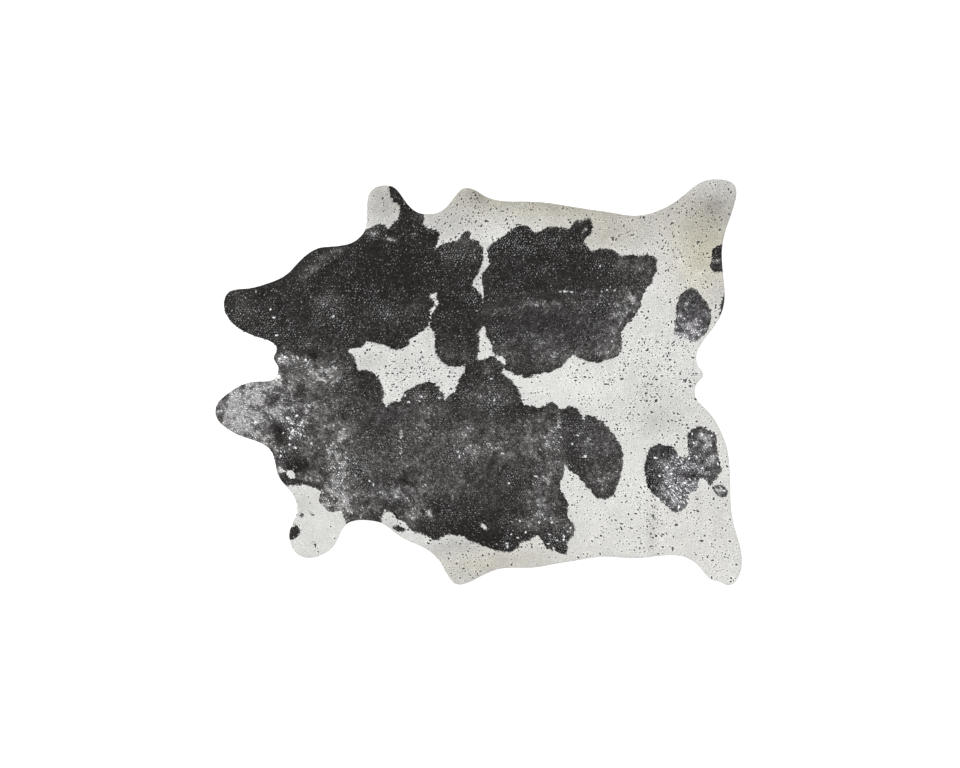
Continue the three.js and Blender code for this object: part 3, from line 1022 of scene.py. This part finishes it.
def inset_ring(ring, distance):
    """The ring moved inwards by a distance, or by one for each of its points."""
    ahead = np.roll(ring, -1, axis=0) - np.roll(ring, 1, axis=0)
    inward = np.stack([-ahead[:, 1], ahead[:, 0]], axis=1)
    scale = distance / np.linalg.norm(inward, axis=1)
    return ring + scale[:, None] * inward


def strip(a, b, c, d):
    """Triangles of a band whose upper edge runs a to b and lower edge c to d, facing out."""
    return np.vstack([np.column_stack([a, c, b]), np.column_stack([b, c, d])])


def build_skin():
    """The tanned skin: hair side, rounded cut edge and suede underside in one closed sheet."""
    rng = np.random.default_rng(SKIN_SEED)
    rim = even_ring(outline, EDGE_STEP)
    rim = inset_ring(rim, soft_noise(rim[:, 0], rim[:, 1], CUT_WANDER) + CUT_INSET)
    shoulder = inset_ring(rim, CUT_BEVEL)
    top, top_triangles = filled_ring(shoulder, TOP_STEP, rng)
    foot, foot_triangles = filled_ring(shoulder, UNDERSIDE_STEP, rng)
    points = np.vstack([
        np.column_stack([top, skin_top(*top.T)]),
        np.column_stack([rim, lie.at(*rim.T) + SKIN_THICKNESS / 2]),
        np.column_stack([foot, lie.at(*foot.T)]),
    ])
    count = len(rim)
    rim_start = len(top)
    foot_start = rim_start + count
    here = np.arange(count)
    ahead = (here + 1) % count
    upper = strip(here, ahead, rim_start + here, rim_start + ahead)
    lower = strip(rim_start + here, rim_start + ahead, foot_start + here, foot_start + ahead)
    triangles = np.vstack([top_triangles, upper, lower, foot_triangles[:, ::-1] + foot_start])
    skin = mesh_piece("tanned_hide", points, triangles, [undercoat, cut_edge, suede])
    kinds = np.repeat([0, 1, 2], [len(top_triangles), len(upper) + len(lower), len(foot_triangles)])
    skin.data.polygons.foreach_set("material_index", kinds.astype(np.int32))
    for name, chart in (
        ("marking", marking),
        ("brightness", brightness),
        ("warmth", warmth),
        ("silver", silver_below),
        ("coolness", coolness),
    ):
        set_values(skin, name, chart.at(points[:, 0], points[:, 1]))
    set_bake_map(skin, skin_bake_map(points, triangles, kinds, count))
    return skin


def skin_bake_map(points, triangles, kinds, count):
    """Hair side over most of the map, suede small in one corner, and the cut edge in rows beside it."""
    flat = (points[:, :2] - (hide_low.x, hide_low.y)) / (hide_length, hide_width)
    corners = flat[triangles]
    hair_side = (0.002, 0.242) + (0.996, 0.755) * corners
    suede_side = (0.002, 0.003) + (0.300, 0.230) * corners
    edge_side = np.zeros_like(corners)
    rows = 8
    station = np.arange(count) * rows / count
    row = np.floor(station)
    # A strip is two runs of triangles, and each of their corners may be one station ahead or one edge down.
    strip_corners = (((0, 0), (0, 1), (1, 0)), ((1, 0), (0, 1), (1, 1)))
    for level, runs in enumerate(np.flatnonzero(kinds == 1).reshape(2, 2, count)):
        for run, run_corners in zip(runs, strip_corners):
            for corner, (ahead, down) in enumerate(run_corners):
                edge_side[run, corner, 0] = 0.315 + 0.68 * (station - row + ahead * rows / count)
                edge_side[run, corner, 1] = 0.010 + 0.028 * row + 0.010 * (level + down)
    return np.choose(kinds[:, None, None], [hair_side, edge_side, suede_side])


# ---------------------------------------------------------------- flecks of foil

Flecks = namedtuple("Flecks", "x y half_length half_width heading shine dark sides")


def scatter_flecks(size, seed):
    """Where the flecks of one size lie, how long they are, how they shine, and which coat they are in."""
    rng = np.random.default_rng(seed)
    x, y = scattered_places(size.spacing, size.shortest, rng)
    dark = marking.at(x, y) < 0
    thicker = strokes_at(x, y, DARK_FLECKS)
    white_share = size.on_white * (1 + strokes_at(x, y, WHITE_FLECKS))
    dark_share = size.on_dark * (1 + thicker)
    silver_share = np.minimum(size.on_silver * silver.at(x, y) ** 3, MOST_ON_SILVER)
    gathered = 1 + soft_noise(x, y, GATHERING)
    share = np.where(dark, dark_share, white_share) * gathered + np.where(dark, silver_share, 0)
    keep = rng.random(len(x)) < share
    x, y, dark, thicker = x[keep], y[keep], dark[keep], thicker[keep]
    mostly_short = 1.5
    half_length = size.shortest + (size.longest - size.shortest) * rng.random(len(x)) ** mostly_short
    half_length = np.minimum(half_length, -edge_chart.at(x, y))
    half_width = half_length * rng.uniform(size.slimmest, size.widest, len(x))
    heading = hair_heading(x, y) + rng.normal(0, FLECK_STRAY, len(x))
    # where they lie thick, the flecks on the dark coat are brighter too
    brighter = 1 + 0.6 * np.clip(thicker, 0, 2.5)
    on_dark = rng.beta(size.bright, size.dull, len(x)) ** (1 / brighter)
    if size.on_silver:
        on_dark *= np.clip(0.12 + 1.15 * silver.at(x, y) + 0.3 * np.clip(thicker, 0, None), 0, 1)
    on_white = rng.beta(BRIGHT_ON_WHITE, DULL_ON_WHITE, len(x))
    shine = np.where(dark, on_dark, on_white)
    return Flecks(x, y, half_length, half_width, heading, shine, dark, size.sides)


def placed_flecks(marks, dark, dullest, brightest, seed):
    """The single marks of one coat, as flecks."""
    rng = np.random.default_rng(seed)
    x, y, half_length, half_width, degrees = np.array(marks).T
    shine = rng.uniform(dullest, brightest, len(x))
    in_dark = np.full(len(x), dark)
    return Flecks(x, y, half_length, half_width, np.radians(degrees), shine, in_dark, PLACED_FLECK_SIDES)


def mask_cell(x, y, shape):
    """The row and column of the fleck mask that each place is in."""
    row = np.clip(((y - hide_low.y) * MASK_CELLS).astype(int), 0, shape[0] - 1)
    column = np.clip(((x - hide_low.x) * MASK_CELLS).astype(int), 0, shape[1] - 1)
    return row, column


def fleck_mask(flecks):
    """A fine grid over the hide that is true wherever a fleck keeps the hair away."""
    mask = np.zeros((int(hide_width * MASK_CELLS) + 2, int(hide_length * MASK_CELLS) + 2), bool)
    cosine, sine = np.cos(flecks.heading), np.sin(flecks.heading)
    reach = np.arange(-FLECK_REACH, FLECK_REACH, 1 / MASK_CELLS)
    for dx in reach:
        for dy in reach:
            along = (dx * cosine + dy * sine) / (flecks.half_length + FLECK_MARGIN)
            across = (dy * cosine - dx * sine) / (flecks.half_width + FLECK_MARGIN)
            inside = along**2 + across**2 < 1
            mask[mask_cell(flecks.x[inside] + dx, flecks.y[inside] + dy, mask.shape)] = True
    return mask


def fleck_arrays(flecks, chosen, rng):
    """Points, triangles, shine and bake map of the chosen flecks: low, uneven cones of foil."""
    shape, shape_triangles = cone_shape(flecks.sides)
    x, y, half_length, half_width, heading = (v[chosen][:, None] for v in flecks[:5])
    copies = len(x)
    ragged = rng.uniform(*FLECK_RAGGEDNESS, (copies, len(shape)))
    along = shape[:, 0] * half_length * ragged
    across = shape[:, 1] * half_width * ragged
    px, py = laid_out(x, y, along, across, heading)
    tilt = rng.normal(0, FLECK_TILT, (copies, 1)) * along + rng.normal(0, FLECK_TILT, (copies, 1)) * across
    pz = skin_top(px, py) + (shape[:, 2] + FLECK_STAND) * FLECK_HEIGHT + tilt
    points = np.stack([px, py, pz], axis=2).reshape(-1, 3)
    shine = flecks.shine[chosen]
    corners = small_map((shine, rng.random(copies)), 0.003 * shape[:, :2], shape_triangles)
    return points, repeated(shape_triangles, len(shape), copies), np.repeat(shine, len(shape)), corners


def build_flecks(name, groups, dark, finish, rng):
    """All the flecks in one coat as one joined piece."""
    parts = [
        fleck_arrays(flecks, flecks.dark == dark, rng) for flecks in groups if (flecks.dark == dark).any()
    ]
    points, triangles, shine, corners = zip(*parts)
    starts = np.cumsum([0] + [len(part) for part in points[:-1]])
    triangles = np.vstack([part + start for part, start in zip(triangles, starts)])
    piece = mesh_piece(name, np.vstack(points), triangles, [finish])
    set_values(piece, "shine", np.concatenate(shine))
    set_bake_map(piece, np.vstack(corners))
    return piece


# ---------------------------------------------------------------- hair

def comb_hair(mask, rng):
    """Every clump's place, heading and length, kept off the flecks and inside the hide's edge."""
    x, y = scattered_places(CLUMP_SPACING, 0.001, rng)
    heading = hair_heading(x, y) + rng.normal(0, CLUMP_STRAY, len(x))
    # the more the wash has silvered the dark hair, the shorter it is, down to half
    silvered = np.clip(1.5 * silver.at(x, y), 0, 1) * (marking.at(x, y) < 0)
    wanted = rng.uniform(*CLUMP_LENGTH, len(x)) * (1 - 0.5 * silvered)
    length = wanted.copy()
    steps = 10
    for step in range(steps, -1, -1):
        px, py = laid_out(x, y, wanted * step / steps, 0, heading)
        stopped = mask[mask_cell(px, py, mask.shape)] | (edge_chart.at(px, py) > EDGE_OVERHANG)
        length[stopped] = wanted[stopped] * (step - 0.5) / steps
    keep = length > SHORTEST_CLUMP
    return x[keep], y[keep], heading[keep], length[keep]


def build_hair(name, x, y, heading, length, values, finish, rng):
    """One joined piece of hair: slim three-sided clumps, laid along their headings with one side down."""
    shape, shape_triangles = cone_shape(3)
    across, up, along = shape.T
    above = (up - up.min()) / (1 - up.min()) * (1 - along)
    copies = len(x)
    x, y, heading, length = (v[:, None] for v in (x, y, heading, length))
    half_width = rng.uniform(*CLUMP_HALF_WIDTH, (copies, 1))
    rise = rng.uniform(*CLUMP_RISE, (copies, 1))
    px, py = laid_out(x, y, along * length, across * half_width, heading)
    pz = skin_top(px, py) - CLUMP_DEPTH + above * CLUMP_HEIGHT + along * (rise + CLUMP_DEPTH)
    points = np.stack([px, py, pz], axis=2).reshape(-1, 3)
    piece = mesh_piece(name, points, repeated(shape_triangles, len(shape), copies), [finish])
    for value_name, value in values.items():
        set_values(piece, value_name, np.repeat(value, len(shape)))
    offsets = 0.002 * np.stack([across, up + 0.7 * along], axis=1)
    set_bake_map(piece, small_map(list(values.values()), offsets, shape_triangles))
    return piece


def white_brightness(x, y, loose, singed):
    """How bright each white clump is: the chart's tone with its painted shade along edges and creases,
    mottled and uneven, with a few singed dark.
    """
    singed_share, scorching = 0.05, 7
    scorch = np.where(singed < singed_share, scorching * singed, 0)
    return brightness.at(x, y) + 0.08 * soft_noise(x, y, MOTTLE) + 0.05 * loose - scorch


def dark_silver(x, y, loose):
    """How silvery each dark clump is: blotchy, and darker between flecks that lie thick."""
    wash = silver.at(x, y)
    full = 0.30
    haze = 0.09 + 1.5 * np.minimum(wash, full) - 0.05 * np.maximum(wash - full, 0)
    thick = thick_flecks(x, y)
    contrast = 0.30 + 0.7 * wash + 0.10 * thick
    return haze / (1 + 0.28 * thick) * np.exp(contrast * soft_noise(x, y, BLOTCHES) + 0.25 * loose)


def build_coat(mask):
    """The whole coat, in joined pieces by colour and by part of the body."""
    rng = np.random.default_rng(HAIR_SEED)
    x, y, heading, length = comb_hair(mask, rng)
    count = len(x)
    tip = laid_out(x, y, COLOUR_PLACE * length, 0, heading)
    ragged = soft_noise(*tip, PATCH_EDGE) + rng.normal(0, 0.0010, count)
    dark = marking.at(*tip) + ragged < 0
    loose = rng.normal(0, 1, count)
    white_shade = {"brightness": white_brightness(*tip, loose, rng.random(count))}
    dark_shade = {"silver": dark_silver(*tip, loose)}
    white_shade["warmth"] = warmth.at(*tip) + 0.05 * rng.normal(0, 1, count)
    dark_shade["coolness"] = coolness.at(*tip) + 0.08 * rng.normal(0, 1, count)
    coats = (
        ("white_hair", ~dark, white_shade, white_hair_finish, WHITE_PARTS),
        ("dark_hair", dark, dark_shade, dark_hair_finish, DARK_PARTS),
    )
    pieces = []
    for coat, in_coat, shade, finish, parts in coats:
        for part, start, end in parts:
            here = in_coat & (x >= start) & (x < end)
            clumps = [v[here] for v in (x, y, heading, length)]
            values = {name: np.clip(value[here], 0, 1) for name, value in shade.items()}
            piece = build_hair(f"{coat}_{part}", *clumps, values, finish, rng)
            pieces.append(piece)
    return pieces


# ---------------------------------------------------------------- assembly

skin = build_skin()
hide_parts("hide")

flecks = [scatter_flecks(size, FLECK_SEED + n) for n, size in enumerate(FLECK_SIZES)]
flecks.append(placed_flecks(WHITE_MARKS, False, 0.1, 0.6, WHITE_MARK_SEED))
flecks.append(placed_flecks(DARK_MARKS, True, 0.75, 1.0, DARK_MARK_SEED))
fleck_rng = np.random.default_rng(FLECK_SHAPE_SEED)
# The flecks on the white coat take the dark foil, which is partly painted shade.
dull_shaded_flecks = build_flecks("dull_shaded_flecks", flecks, False, dull_shaded_foil, fleck_rng)
bright_flecks = build_flecks("bright_flecks", flecks, True, bright_foil, fleck_rng)

hair = build_coat(np.logical_or.reduce([fleck_mask(group) for group in flecks]))

on_skin = [dull_shaded_flecks, bright_flecks, *hair]
for piece in [skin, *on_skin]:
    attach(piece, "root")
